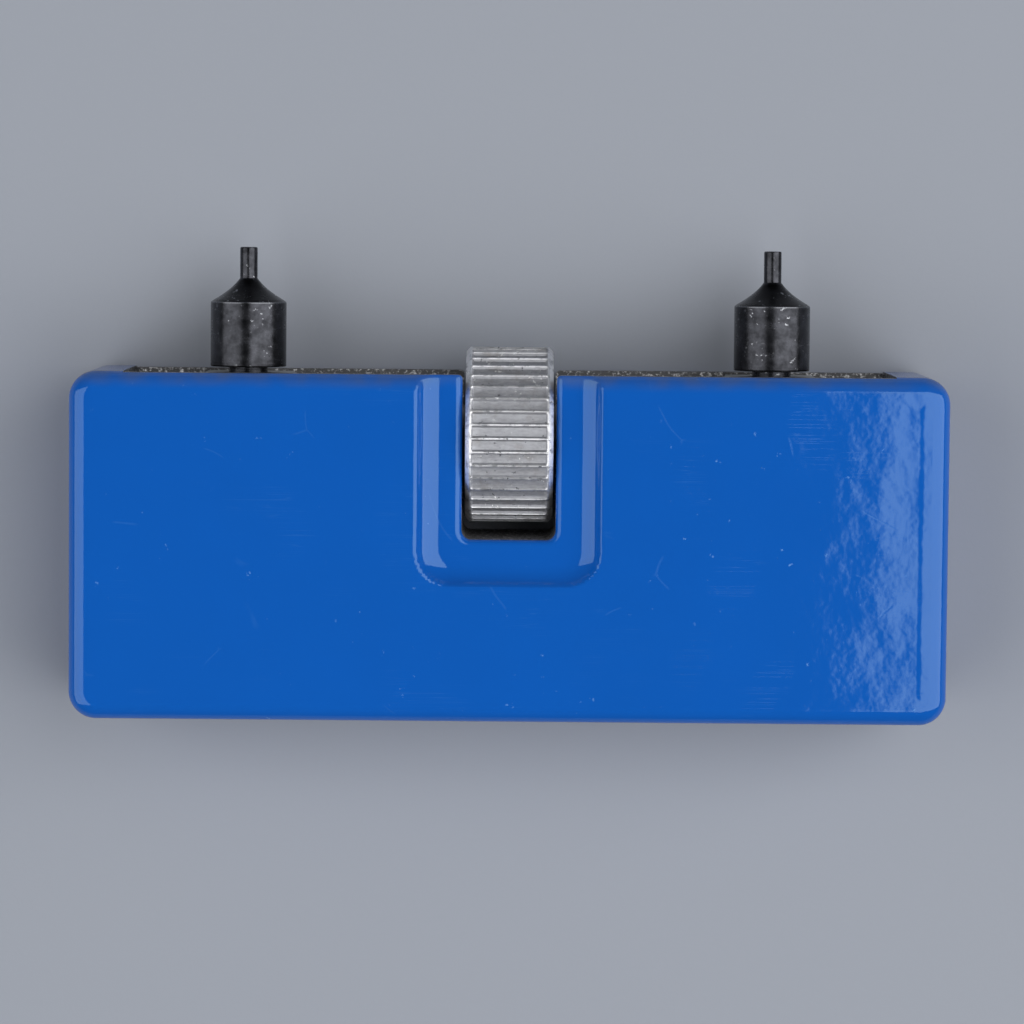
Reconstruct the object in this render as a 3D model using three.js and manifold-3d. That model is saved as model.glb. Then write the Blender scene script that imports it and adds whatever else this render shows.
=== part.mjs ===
// A pocket case back opener: a painted die-cast block that holds a screw with opposite threads on its halves.
// Turning the knurled wheel at the middle moves two slider nuts, and the pin tips on them, apart or together.
// Millimetres. The tool lies on its back face: +X along its length, +Y towards the tips, +Z out of its front.
import * as THREE from "three";
import { mergeVertices } from "three/addons/utils/BufferGeometryUtils.js";
import Module from "manifold-3d";

const wasm = await Module();
wasm.setup();

// Housing, its rounded edges and the thumb recess round its window
const HOUSING_LENGTH = 63;
const HOUSING_HEIGHT = 25;
const HOUSING_THICKNESS = 13;
const CORNER_RADIUS = 2;
const EDGE_ROUNDING = 1.3;
const RECESS_MARGIN = 3.42;
const RECESS_DEPTH = 1;
const RECESS_WALL_RUN = 1.9;
const RECESS_CORNER_RADIUS = 2.7;

// Trough that the slider nuts run in, open along the top face, and the bare lips that were milled with it
const END_WALL = 3.9;
const SIDE_WALL = 2;
const TROUGH_DEPTH = 9.8;
const TROUGH_CORNER_RADIUS = 1;
const LIP_SKIM = 0.1;

// Lead screw
const SCREW_AXIS_DROP = 4.6;
const SCREW_DIAMETER = 5;
const SCREW_PITCH = 0.8;
const THREAD_DEPTH = 0.43;
const SCREW_END_PLAY = 0.2;
const SCREW_CHAMFER = 0.4;
const SEAT_RISE = 0.2;

// Thumb wheel
const WHEEL_DIAMETER = 12.7;
const WHEEL_WIDTH = 6.3;
const WHEEL_CHAMFER = 0.3;
const WHEEL_RIDGES = 40;
const RIDGE_CREST_WIDTH = 0.22;
const RIDGE_FOOT_WIDTH = 0.42;
const RIDGE_HEIGHT = 0.27;

// Clearances round the wheel
const WHEEL_SIDE_CLEARANCE = 0.22;
const WHEEL_FLOOR_CLEARANCE = 0.95;
const WINDOW_CORNER_RADIUS = 0.7;

// Slider nuts, and how far they stand from the ends of the trough at rest
const NUT_LENGTH = 7;
const NUT_OUTWARD_TRAVEL = 5.1;
const NUT_SIDE_CLEARANCE = 0.15;
const NUT_FLOOR_CLEARANCE = 0.3;
const NUT_TOP_DROP = 0.25;
const NUT_CHAMFER = 0.35;
const THREAD_CLEARANCE = 0.12;

// Pin tips
const TIP_BODY_DIAMETER = 5.5;
const TIP_BODY_LENGTH = 4.7;
const TIP_SHOULDER_LENGTH = 1.7;
const TIP_SHOULDER_HOLLOW = 0.24;
const TIP_PIN_DIAMETER = 1.27;
const TIP_PIN_LENGTH = 2.25;
const TIP_LIP_GAP = 0.2;
const TIP_NECK_DIAMETER = 2.8;
const TIP_THREAD_DIAMETER = 3;
const TIP_THREAD_PITCH = 0.5;
const TIP_THREAD_DEPTH = 0.27;
const TIP_SCREW_GAP = 0.45;
const TIP_HOLE_SPARE = 0.15;
const TIP_HOLE_COUNTERSINK = 0.25;
const TIP_EDGE_CHAMFER = 0.15;

// Pivot pins, pressed through the end walls into bores in the screw's ends
const PIVOT_DIAMETER = 2.4;
const PIVOT_REACH = 3.6;
const PIVOT_SINK = 0.3;
const PRESS_GAP = 0.03;
const RUNNING_GAP = 0.1;
const BORE_SPARE_DEPTH = 0.4;
const PIVOT_CHAMFER = 0.25;

// Facets, and how far a cut runs past the surface that it opens
const ROUND_SIDES = 32;
const THREAD_STEPS = 16;
const EDGE_STEPS = 3;
const CORNER_STEPS = 4;
const SHOULDER_STEPS = 5;
const CUT_OVERRUN = 1;

// Places that follow from the sizes above. The housing's centre is at x = 0, y = 0.
const TOP_FACE = HOUSING_HEIGHT / 2;
const MID_THICKNESS = HOUSING_THICKNESS / 2;
const TROUGH_LENGTH = HOUSING_LENGTH - 2 * END_WALL;
const TROUGH_WIDTH = HOUSING_THICKNESS - 2 * SIDE_WALL;
const TROUGH_FLOOR_Y = TOP_FACE - TROUGH_DEPTH;
const SCREW_AXIS_Y = TOP_FACE - SCREW_AXIS_DROP;
const SCREW_HALF = TROUGH_LENGTH / 2 - SCREW_END_PLAY;
const SEAT_DIAMETER = SCREW_DIAMETER + 2 * SEAT_RISE;
const WHEEL_HALF = WHEEL_WIDTH / 2;
const WINDOW_WIDTH = WHEEL_WIDTH + 2 * WHEEL_SIDE_CLEARANCE;
const WINDOW_FLOOR_Y = SCREW_AXIS_Y - WHEEL_DIAMETER / 2 - WHEEL_FLOOR_CLEARANCE;
const NUT_WIDTH = TROUGH_WIDTH - 2 * NUT_SIDE_CLEARANCE;
const NUT_TOP_Y = TOP_FACE - NUT_TOP_DROP;
const NUT_FLOOR_Y = TROUGH_FLOOR_Y + NUT_FLOOR_CLEARANCE;
const TIP_SPACING = TROUGH_LENGTH - 2 * NUT_OUTWARD_TRAVEL - NUT_LENGTH;
const TIP_NECK_LENGTH = NUT_TOP_DROP + TIP_LIP_GAP;
const TIP_THREAD_LENGTH = SCREW_AXIS_DROP - SCREW_DIAMETER / 2 - NUT_TOP_DROP - TIP_SCREW_GAP;
const TIP_REACH = TIP_LIP_GAP + TIP_BODY_LENGTH + TIP_SHOULDER_LENGTH + TIP_PIN_LENGTH;

const paint = new THREE.MeshStandardMaterial({ color: 0x145bb8, roughness: 0.22, metalness: 0 });
const knurledAlloy = new THREE.MeshStandardMaterial({ color: 0xb4b5b6, roughness: 0.38, metalness: 1 });
const screwSteel = new THREE.MeshStandardMaterial({ color: 0x9a9b9c, roughness: 0.34, metalness: 1 });
const pinSteel = new THREE.MeshStandardMaterial({ color: 0xa8a8a6, roughness: 0.3, metalness: 1 });
const nutSteel = new THREE.MeshStandardMaterial({ color: 0x8e8e8c, roughness: 0.42, metalness: 1 });
const blackOxide = new THREE.MeshStandardMaterial({ color: 0x26282b, roughness: 0.32, metalness: 0.9 });

// A closed geometry as a solid that can be joined and cut.
function solid(geometry) {
  const bare = geometry.clone();
  bare.deleteAttribute("normal");
  bare.deleteAttribute("uv");
  const merged = mergeVertices(bare, 1e-4);
  return new wasm.Manifold(
    new wasm.Mesh({
      numProp: 3,
      vertProperties: new Float32Array(merged.attributes.position.array),
      triVerts: new Uint32Array(merged.index.array),
    }),
  );
}

// A solid as a named mesh.
function named(name, shape, material) {
  const { vertProperties, triVerts } = shape.getMesh();
  const geometry = new THREE.BufferGeometry();
  geometry.setAttribute("position", new THREE.BufferAttribute(vertProperties, 3));
  geometry.setIndex(new THREE.BufferAttribute(triVerts, 1));
  const mesh = new THREE.Mesh(geometry, material);
  mesh.name = name;
  return mesh;
}

// A box between two corners.
function block(x0, x1, y0, y1, z0, z1) {
  const geometry = new THREE.BoxGeometry(x1 - x0, y1 - y0, z1 - z0);
  geometry.translate((x0 + x1) / 2, (y0 + y1) / 2, (z0 + z1) / 2);
  return solid(geometry);
}

// A rounded rectangle as an outline.
function roundedRectangle(x0, x1, y0, y1, radius) {
  const outline = new THREE.Shape();
  outline.moveTo(x0 + radius, y0);
  outline.lineTo(x1 - radius, y0);
  outline.absarc(x1 - radius, y0 + radius, radius, -Math.PI / 2, 0);
  outline.lineTo(x1, y1 - radius);
  outline.absarc(x1 - radius, y1 - radius, radius, 0, Math.PI / 2);
  outline.lineTo(x0 + radius, y1);
  outline.absarc(x0 + radius, y1 - radius, radius, Math.PI / 2, Math.PI);
  outline.lineTo(x0, y0 + radius);
  outline.absarc(x0 + radius, y0 + radius, radius, Math.PI, 1.5 * Math.PI);
  return outline;
}

// An outline in the XY plane raised from z0 to z1.
function raised(outline, z0, z1) {
  const geometry = new THREE.ExtrudeGeometry(outline, {
    depth: z1 - z0,
    bevelEnabled: false,
    curveSegments: CORNER_STEPS,
  });
  geometry.translate(0, 0, z0);
  return geometry;
}

// A profile of [radius, distance along the axis] points turned about the Y axis.
function turned(profile, sides = ROUND_SIDES) {
  return new THREE.LatheGeometry(
    profile.map(([radius, along]) => new THREE.Vector2(radius, along)),
    sides,
  );
}

// A round bar on the screw's axis from x0 to x1, with or without chamfered ends.
function bar(x0, x1, radius, chamfer = 0) {
  const plain = [[radius, x0], [radius, x1]];
  const chamfered = [
    [radius - chamfer, x0],
    [radius, x0 + chamfer],
    [radius, x1 - chamfer],
    [radius - chamfer, x1],
  ];
  const geometry = turned([[0, x0], ...(chamfer ? chamfered : plain), [0, x1]]);
  geometry.rotateZ(-Math.PI / 2);
  geometry.translate(0, SCREW_AXIS_Y, MID_THICKNESS);
  return solid(geometry);
}

// A threaded bar along X, centred on the X axis. Its ridge rises from the root radius to the crest and back
// once a pitch, and its ends follow the thread, so it is made too long and cut to length. A left-hand thread
// is the mirror image in X of a right-hand one.
function threadGeometry(x0, x1, crest, root, pitch, hand) {
  const start = hand > 0 ? x0 : -x1;
  const spareTurns = 3;
  const lines = 2 * (Math.ceil((x1 - x0) / pitch) + spareTurns);
  const phase = Math.floor(start / pitch) * pitch - pitch;
  const positions = [];
  const places = new Map();
  const place = (step, line) => {
    const key = step === THREAD_STEPS ? `0,${line + 2}` : `${step},${line}`;
    if (!places.has(key)) {
      const turn = step === THREAD_STEPS ? 0 : step / THREAD_STEPS;
      const across = step === THREAD_STEPS ? line + 2 : line;
      const radius = across % 2 ? crest : root;
      const x = phase + pitch * (across / 2 + turn);
      const angle = 2 * Math.PI * turn;
      places.set(key, positions.length / 3);
      positions.push(hand * x, radius * Math.cos(angle), radius * Math.sin(angle));
    }
    return places.get(key);
  };
  const triangles = [];
  for (let step = 0; step < THREAD_STEPS; step++) {
    for (let line = 0; line < lines; line++) {
      const a = place(step, line);
      const b = place(step, line + 1);
      const c = place(step + 1, line + 1);
      const d = place(step + 1, line);
      triangles.push(a, d, b, b, d, c);
    }
  }
  // each end is a fan from a point on the axis, closed by the thread's own radial step
  for (const [line, outward] of [[0, -1], [lines, 1]]) {
    const centre = positions.length / 3;
    positions.push(hand * (phase + (pitch * (line + 1)) / 2), 0, 0);
    const rim = [];
    for (let step = 0; step <= THREAD_STEPS; step++) rim.push(place(step, line));
    rim.push(place(0, line + 1));
    rim.forEach((from, i) => {
      const to = rim[(i + 1) % rim.length];
      triangles.push(...(outward > 0 ? [centre, from, to] : [centre, to, from]));
    });
  }
  if (hand < 0) triangles.reverse();
  const geometry = new THREE.BufferGeometry();
  geometry.setAttribute("position", new THREE.Float32BufferAttribute(positions, 3));
  geometry.setIndex(triangles);
  return geometry;
}

// The screw's thread on one side: side -1 is the left half, right-hand, and side 1 the right half, left-hand.
function screwThread(side, x0, x1, growth) {
  const crest = SCREW_DIAMETER / 2 + growth;
  const geometry = threadGeometry(x0, x1, crest, crest - THREAD_DEPTH, SCREW_PITCH, -side);
  geometry.translate(0, SCREW_AXIS_Y, MID_THICKNESS);
  return solid(geometry);
}

// The tip's thread, along -Y from the neck's foot at the nut's top face.
function tipThread(length, growth) {
  const crest = TIP_THREAD_DIAMETER / 2 + growth;
  const root = crest - TIP_THREAD_DEPTH;
  const geometry = threadGeometry(-length, CUT_OVERRUN, crest, root, TIP_THREAD_PITCH, 1);
  geometry.rotateZ(Math.PI / 2);
  const far = 2 * TIP_THREAD_DIAMETER;
  return solid(geometry).intersect(block(-far, far, -length, CUT_OVERRUN, -far, far));
}

function housing() {
  const inset = EDGE_ROUNDING;
  const halfLength = HOUSING_LENGTH / 2 - inset;
  const halfHeight = TOP_FACE - inset;
  const outline = roundedRectangle(-halfLength, halfLength, -halfHeight, halfHeight, CORNER_RADIUS - inset);
  const blank = new THREE.ExtrudeGeometry(outline, {
    depth: HOUSING_THICKNESS - 2 * inset,
    bevelThickness: inset,
    bevelSize: inset,
    bevelSegments: EDGE_STEPS,
    curveSegments: CORNER_STEPS,
  });
  blank.translate(0, 0, inset);
  return solid(blank)
    .subtract(recess(1))
    .subtract(recess(-1))
    .subtract(windowCut())
    .subtract(troughCut())
    .subtract(lipSkim())
    .subtract(pivotBore(-1))
    .subtract(pivotBore(1));
}

// The shallow thumb recess round the window, open at the top face, with sloping walls round a flat floor.
function recess(face) {
  const foot = WINDOW_WIDTH / 2 + RECESS_MARGIN - RECESS_WALL_RUN;
  const floorY = WINDOW_FLOOR_Y - RECESS_MARGIN + RECESS_WALL_RUN;
  const cornerRadius = RECESS_CORNER_RADIUS - RECESS_WALL_RUN;
  const far = TOP_FACE + 2 * RECESS_WALL_RUN;
  const geometry = new THREE.ExtrudeGeometry(roundedRectangle(-foot, foot, floorY, far, cornerRadius), {
    depth: CUT_OVERRUN,
    bevelThickness: RECESS_DEPTH,
    bevelSize: RECESS_WALL_RUN,
    bevelSegments: 1,
    curveSegments: CORNER_STEPS,
  });
  if (face < 0) geometry.rotateY(Math.PI);
  geometry.translate(0, 0, face > 0 ? HOUSING_THICKNESS : 0);
  return solid(geometry);
}

// The window that the wheel turns in, right through the housing and open at the top.
function windowCut() {
  const half = WINDOW_WIDTH / 2;
  const top = TOP_FACE + WINDOW_CORNER_RADIUS + CUT_OVERRUN;
  const outline = roundedRectangle(-half, half, WINDOW_FLOOR_Y, top, WINDOW_CORNER_RADIUS);
  return solid(raised(outline, -CUT_OVERRUN, HOUSING_THICKNESS + CUT_OVERRUN));
}

// The trough, sunk from the top face, with rounded inner corners as a milling cutter leaves them.
function troughCut() {
  const halfLength = TROUGH_LENGTH / 2;
  const halfWidth = TROUGH_WIDTH / 2;
  const outline = roundedRectangle(-halfLength, halfLength, -halfWidth, halfWidth, TROUGH_CORNER_RADIUS);
  const geometry = raised(outline, 0, TOP_FACE + CUT_OVERRUN - TROUGH_FLOOR_Y);
  geometry.rotateX(-Math.PI / 2);
  geometry.translate(0, TROUGH_FLOOR_Y, MID_THICKNESS);
  return solid(geometry);
}

// The thin cut that leaves the lips beside the trough bare and slightly lower than the painted ends.
function lipSkim() {
  const half = TROUGH_LENGTH / 2;
  const far = HOUSING_THICKNESS + CUT_OVERRUN;
  return block(-half, half, TOP_FACE - LIP_SKIM, TOP_FACE + CUT_OVERRUN, -CUT_OVERRUN, far);
}

function pivotBore(side) {
  const inner = SCREW_HALF;
  const outer = HOUSING_LENGTH / 2 + CUT_OVERRUN;
  const radius = PIVOT_DIAMETER / 2 + PRESS_GAP;
  return side > 0 ? bar(inner, outer, radius) : bar(-outer, -inner, radius);
}

// The screw: a thicker plain seat for the wheel between its two threads, and a bore for a pivot pin in each
// end. The threads start inside the seat, so only their outer ends are cut to length.
function leadScrew() {
  const threadEnd = SCREW_HALF + SCREW_PITCH;
  const boreStart = TROUGH_LENGTH / 2 - PIVOT_REACH - BORE_SPARE_DEPTH;
  const boreRadius = PIVOT_DIAMETER / 2 + RUNNING_GAP;
  const limits = bar(-SCREW_HALF, SCREW_HALF, SCREW_DIAMETER / 2 + CUT_OVERRUN, SCREW_CHAMFER + CUT_OVERRUN);
  return bar(-WHEEL_HALF, WHEEL_HALF, SEAT_DIAMETER / 2, SCREW_CHAMFER)
    .add(screwThread(-1, -threadEnd, 0, 0).intersect(limits))
    .add(screwThread(1, 0, threadEnd, 0).intersect(limits))
    .subtract(bar(boreStart, threadEnd, boreRadius))
    .subtract(bar(-threadEnd, -boreStart, boreRadius));
}

// The wheel: a bored, chamfered disc with a straight knurl of narrow ridges and wide shallow grooves.
function thumbWheel() {
  const crest = WHEEL_DIAMETER / 2;
  const groove = crest - RIDGE_HEIGHT;
  const outline = new THREE.Shape();
  const step = (2 * Math.PI) / WHEEL_RIDGES;
  for (let ridge = 0; ridge < WHEEL_RIDGES; ridge++) {
    const middle = ridge * step;
    const corners = [
      [groove, -RIDGE_FOOT_WIDTH / 2],
      [crest, -RIDGE_CREST_WIDTH / 2],
      [crest, RIDGE_CREST_WIDTH / 2],
      [groove, RIDGE_FOOT_WIDTH / 2],
    ];
    for (const [radius, along] of corners) {
      const angle = middle + along / radius;
      outline.lineTo(radius * Math.cos(angle), radius * Math.sin(angle));
    }
  }
  const knurl = raised(outline, -WHEEL_HALF - CUT_OVERRUN, WHEEL_HALF + CUT_OVERRUN);
  knurl.rotateY(Math.PI / 2);
  knurl.translate(0, SCREW_AXIS_Y, MID_THICKNESS);
  return solid(knurl)
    .intersect(bar(-WHEEL_HALF, WHEEL_HALF, crest + RIDGE_HEIGHT / 2, WHEEL_CHAMFER + RIDGE_HEIGHT / 2))
    .subtract(bar(-WHEEL_WIDTH, WHEEL_WIDTH, SEAT_DIAMETER / 2 + PRESS_GAP));
}

// A slider nut: a chamfered block, tapped along X for the screw and from the top for its tip.
function sliderNut(side) {
  const x = (side * TIP_SPACING) / 2;
  const half = NUT_WIDTH / 2 - NUT_CHAMFER;
  const halfLength = NUT_LENGTH / 2 - NUT_CHAMFER;
  const outline = roundedRectangle(-halfLength, halfLength, -half, half, NUT_CHAMFER);
  const blank = new THREE.ExtrudeGeometry(outline, {
    depth: NUT_TOP_Y - NUT_FLOOR_Y - 2 * NUT_CHAMFER,
    bevelThickness: NUT_CHAMFER,
    bevelSize: NUT_CHAMFER,
    bevelSegments: 1,
    curveSegments: 1,
  });
  blank.rotateX(-Math.PI / 2);
  blank.translate(x, NUT_FLOOR_Y + NUT_CHAMFER, MID_THICKNESS);
  const reach = NUT_LENGTH / 2 + SCREW_PITCH;
  return solid(blank)
    .subtract(screwThread(side, x - reach, x + reach, THREAD_CLEARANCE))
    .subtract(tipHole().translate([x, NUT_TOP_Y, MID_THICKNESS]));
}

// The tapped hole for a tip, along -Y from the nut's top face, with a countersunk mouth.
function tipHole() {
  const thread = TIP_THREAD_DIAMETER / 2;
  const mouth = thread + TIP_HOLE_COUNTERSINK;
  const countersink = turned([
    [0, -TIP_HOLE_COUNTERSINK],
    [thread, -TIP_HOLE_COUNTERSINK],
    [mouth, 0],
    [mouth, CUT_OVERRUN],
    [0, CUT_OVERRUN],
  ]);
  return tipThread(TIP_THREAD_LENGTH + TIP_HOLE_SPARE, THREAD_CLEARANCE).add(solid(countersink));
}

// A turned tip: threaded shank, neck, round body, hollow-curved shoulder, and the pin that fits a slot in a
// case back.
function pinTip(side) {
  const body = TIP_BODY_DIAMETER / 2;
  const pin = TIP_PIN_DIAMETER / 2;
  const bodyFoot = TIP_NECK_LENGTH;
  const bodyTop = bodyFoot + TIP_BODY_LENGTH;
  const pinFoot = bodyTop + TIP_SHOULDER_LENGTH;
  const pinTop = pinFoot + TIP_PIN_LENGTH;
  const profile = [
    [0, -TIP_EDGE_CHAMFER],
    [TIP_NECK_DIAMETER / 2 - TIP_THREAD_DEPTH, -TIP_EDGE_CHAMFER],
    [TIP_NECK_DIAMETER / 2, 0],
    [TIP_NECK_DIAMETER / 2, bodyFoot],
    [body - TIP_EDGE_CHAMFER, bodyFoot],
    [body, bodyFoot + TIP_EDGE_CHAMFER],
    [body, bodyTop],
  ];
  for (let step = 1; step <= SHOULDER_STEPS; step++) {
    const share = step / SHOULDER_STEPS;
    const straight = body + (pin - body) * share;
    const radius = straight - TIP_SHOULDER_HOLLOW * 4 * share * (1 - share);
    profile.push([radius, bodyTop + TIP_SHOULDER_LENGTH * share]);
  }
  profile.push([pin, pinTop - TIP_EDGE_CHAMFER], [pin - TIP_EDGE_CHAMFER, pinTop], [0, pinTop]);
  return solid(turned(profile))
    .add(tipThread(TIP_THREAD_LENGTH, 0))
    .translate([(side * TIP_SPACING) / 2, NUT_TOP_Y, MID_THICKNESS]);
}

function pivotPin(side) {
  const outer = HOUSING_LENGTH / 2 - PIVOT_SINK;
  const inner = TROUGH_LENGTH / 2 - PIVOT_REACH;
  const x0 = side > 0 ? inner : -outer;
  const x1 = side > 0 ? outer : -inner;
  return bar(x0, x1, PIVOT_DIAMETER / 2, PIVOT_CHAMFER);
}

const tool = new THREE.Group();
tool.position.y = -TIP_REACH / 2;
tool.add(named("housing", housing(), paint));
tool.add(named("lead_screw", leadScrew(), screwSteel));
tool.add(named("thumb_wheel", thumbWheel(), knurledAlloy));
for (const [word, side] of [["left", -1], ["right", 1]]) {
  tool.add(named(`slider_nut_${word}`, sliderNut(side), nutSteel));
  tool.add(named(`pin_tip_${word}`, pinTip(side), blackOxide));
  tool.add(named(`pivot_pin_${word}`, pivotPin(side), pinSteel));
}

const part = new THREE.Group();
part.add(tool);
export default part;
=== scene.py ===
from math import atan, ceil, cos, hypot, pi, radians, sin, sqrt, tan

import bmesh
import bpy
from bpy.props import FloatProperty, FloatVectorProperty, IntProperty, PointerProperty
from mathutils import Euler, Matrix, Vector


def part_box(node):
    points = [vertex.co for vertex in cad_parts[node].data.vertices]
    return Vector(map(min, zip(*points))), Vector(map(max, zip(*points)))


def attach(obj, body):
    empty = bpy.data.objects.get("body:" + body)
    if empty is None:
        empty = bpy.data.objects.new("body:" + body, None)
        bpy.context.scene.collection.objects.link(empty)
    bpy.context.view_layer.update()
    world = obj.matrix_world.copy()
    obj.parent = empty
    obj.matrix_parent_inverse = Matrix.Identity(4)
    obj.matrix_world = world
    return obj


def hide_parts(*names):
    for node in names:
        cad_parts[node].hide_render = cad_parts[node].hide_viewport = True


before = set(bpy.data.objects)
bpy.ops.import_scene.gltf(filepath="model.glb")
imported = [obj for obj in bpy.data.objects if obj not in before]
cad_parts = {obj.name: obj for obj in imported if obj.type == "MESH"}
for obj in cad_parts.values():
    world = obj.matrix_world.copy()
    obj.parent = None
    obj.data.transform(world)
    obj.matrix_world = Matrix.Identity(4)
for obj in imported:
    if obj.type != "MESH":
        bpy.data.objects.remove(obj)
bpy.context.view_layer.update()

bl_info = {
    "name": "Case back opener",
    "version": (1, 0, 0),
    "blender": (4, 5, 0),
    "location": "3D View > Sidebar > Case Back Opener",
    "description": "Makes a case back opener: block, knurled wheel, two-handed screw, nuts and pin tips",
    "category": "Object",
}

MM = 0.001


# ---------------------------------------------------------------- places, from the frame

class Span:
    """A CAD node's box, as low and high corners, its middle and its size."""

    def __init__(self, *nodes):
        boxes = [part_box(node) for node in nodes]
        self.low = Vector([min(box[0][axis] for box in boxes) for axis in range(3)])
        self.high = Vector([max(box[1][axis] for box in boxes) for axis in range(3)])
        self.middle = (self.low + self.high) / 2
        self.size = self.high - self.low


HOUSING = Span("housing")
WHEEL = Span("thumb_wheel")
SCREW = Span("lead_screw")
NUT = {side: Span(f"slider_nut_{side}") for side in ("left", "right")}
TIP = {side: Span(f"pin_tip_{side}") for side in ("left", "right")}
PIVOT = {side: Span(f"pivot_pin_{side}") for side in ("left", "right")}
SIGN = {"left": -1, "right": 1}


# ---------------------------------------------------------------- sizes and colours that a user would change

def length(name, description, millimetres):
    return FloatProperty(
        name=name, description=description, default=millimetres * MM, min=0, precision=6, unit="LENGTH"
    )


def colour(name, description, linear):
    return FloatVectorProperty(
        name=name, description=description, default=linear, min=0, max=1, size=3, subtype="COLOR"
    )


def angle(name, description, degrees):
    return FloatProperty(name=name, description=description, default=radians(degrees), subtype="ANGLE")


def wattage(name, description, watts):
    return FloatProperty(name=name, description=description, default=watts, min=0, unit="POWER")


def share(name, description, value):
    return FloatProperty(name=name, description=description, default=value, min=0, max=1, subtype="FACTOR")


class HousingSizes(bpy.types.PropertyGroup):
    corner_radius: length("Corner radius", "Radius of the block's four corners, seen from the front", 2)
    edge_rounding: length("Edge rounding", "Radius of the rounded edges of the front and back faces", 1.3)
    window_play: length("Window play", "Gap between each side of the wheel and the window", 0.22)
    window_floor_gap: length("Window floor gap", "Gap between the wheel and the floor of its window", 0.95)
    window_corner: length("Window corner", "Radius of the window's lower corners", 0.7)
    window_lip: length("Window lip", "Radius of the painted edge round the window", 0.45)
    recess_margin: length("Recess margin", "Width of the thumb recess round the window", 3.42)
    recess_depth: length("Recess depth", "Depth of the thumb recess", 1)
    recess_run: length("Recess wall run", "Width of the sloping wall of the thumb recess", 1.9)
    recess_edge: length("Recess edge", "Radius of the rounded upper edge of the recess wall", 0.35)
    recess_corner: length("Recess corner", "Radius of the recess's lower corners", 2.7)
    recess_blend: FloatProperty(
        name="Recess blend", description="How sharply the recess meets the top edge", default=3, min=1, max=8
    )
    bead_height: length("Bead height", "Height of the fat edge of enamel round the front", 0.0052)
    bead_level: length("Bead level", "Width of the level top of that fat edge", 0.6)
    bead_width: length("Bead width", "Width of the slope inside that fat edge", 0.4)
    nut_play: length("Nut play", "Gap between each side of a slider nut and the trough", 0.15)
    nut_floor_gap: length("Nut floor gap", "Gap between a slider nut and the trough's floor", 0.3)
    screw_play: length("Screw play", "Gap between each end of the screw and the trough", 0.2)
    trough_corner: length("Trough corner", "Radius of the trough's inner corners", 1)
    lip_skim: length("Lip skim", "How far the milled lips lie below the painted ends", 0.1)
    lip_turn: length("Lip turn", "Radius where the lips turn down into the window", 0.35)
    pivot_fit: length("Pivot fit", "Gap round a pivot pin in the end wall", 0.03)


class WheelSizes(bpy.types.PropertyGroup):
    ridges: IntProperty(name="Ridges", description="Number of knurled ridges", default=40, min=8, max=90)
    crest_width: length("Crest width", "Width of the top of a ridge", 0.1)
    foot_width: length("Foot width", "Width of the foot of a ridge", 0.36)
    ridge_height: length("Ridge height", "Height of a ridge over the groove beside it", 0.22)
    groove_hollow: length("Groove hollow", "How far the middle of a groove is hollowed", 0.02)
    chamfer: length("Chamfer", "Chamfer at both ends of the wheel", 0.3)
    bore: length("Bore", "Diameter of the bore that the screw's seat is pressed in", 5.46)
    face_sink: length("Face sink", "How far the turned side faces are sunk inside their rim", 0.12)
    rim_width: length("Rim width", "Width of the rim round the side faces", 0.7)


class ScrewSizes(bpy.types.PropertyGroup):
    pitch: length("Pitch", "Distance from thread to thread", 0.8)
    diameter: length("Diameter", "Diameter over the thread", 5)
    thread_depth: length("Thread depth", "Height of the thread", 0.43)
    seat_rise: length("Seat rise", "How far the wheel's seat stands over the thread", 0.2)
    relief: length("Relief", "Depth of the groove where the thread meets the seat", 0.05)
    end_chamfer: length("End chamfer", "Chamfer at the ends of the screw", 0.6)
    bore: length("End bore", "Diameter of the bores in the screw's ends", 2.6)
    bore_depth: length("End bore depth", "Depth of the bores in the screw's ends", 3.8)


class TipSizes(bpy.types.PropertyGroup):
    pin_diameter: length("Pin diameter", "Diameter of the pin that fits the case back", 1.27)
    pin_length: length("Pin length", "Length of the pin", 2.25)
    shoulder_length: length("Shoulder length", "Length of the hollow-curved shoulder", 1.7)
    shoulder_hollow: length("Shoulder hollow", "How far the shoulder is hollowed", 0.24)
    body_length: length("Body length", "Length of the round body", 4.7)
    neck_diameter: length("Neck diameter", "Diameter of the neck under the body", 2.8)
    thread_diameter: length("Thread diameter", "Diameter of the threaded shank", 3)
    thread_pitch: length("Thread pitch", "Pitch of the threaded shank", 0.5)
    thread_depth: length("Thread depth", "Height of the shank's thread", 0.27)
    edge_break: length("Edge break", "Chamfer at the tip's edges", 0.08)


class Colours(bpy.types.PropertyGroup):
    enamel: colour("Enamel", "Blue stoved enamel", (0.0022, 0.083, 0.392))
    bare_alloy: colour("Bare alloy", "Milled die-cast alloy", (0.42, 0.42, 0.43))
    wheel_alloy: colour("Wheel alloy", "Knurled light alloy", (0.39, 0.395, 0.42))
    black_oxide: colour("Black oxide", "Blackened steel of the tips", (0.034, 0.035, 0.040))
    screw_steel: colour("Screw steel", "Rolled steel of the screw", (0.50, 0.50, 0.51))
    nut_steel: colour("Nut steel", "Milled steel of the slider nuts", (0.42, 0.42, 0.41))
    pin_steel: colour("Pin steel", "Ground steel of the pivot pins", (0.55, 0.55, 0.54))
    floor: colour("Floor", "Pale grey paper under the tool", (0.272, 0.291, 0.332))


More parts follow.
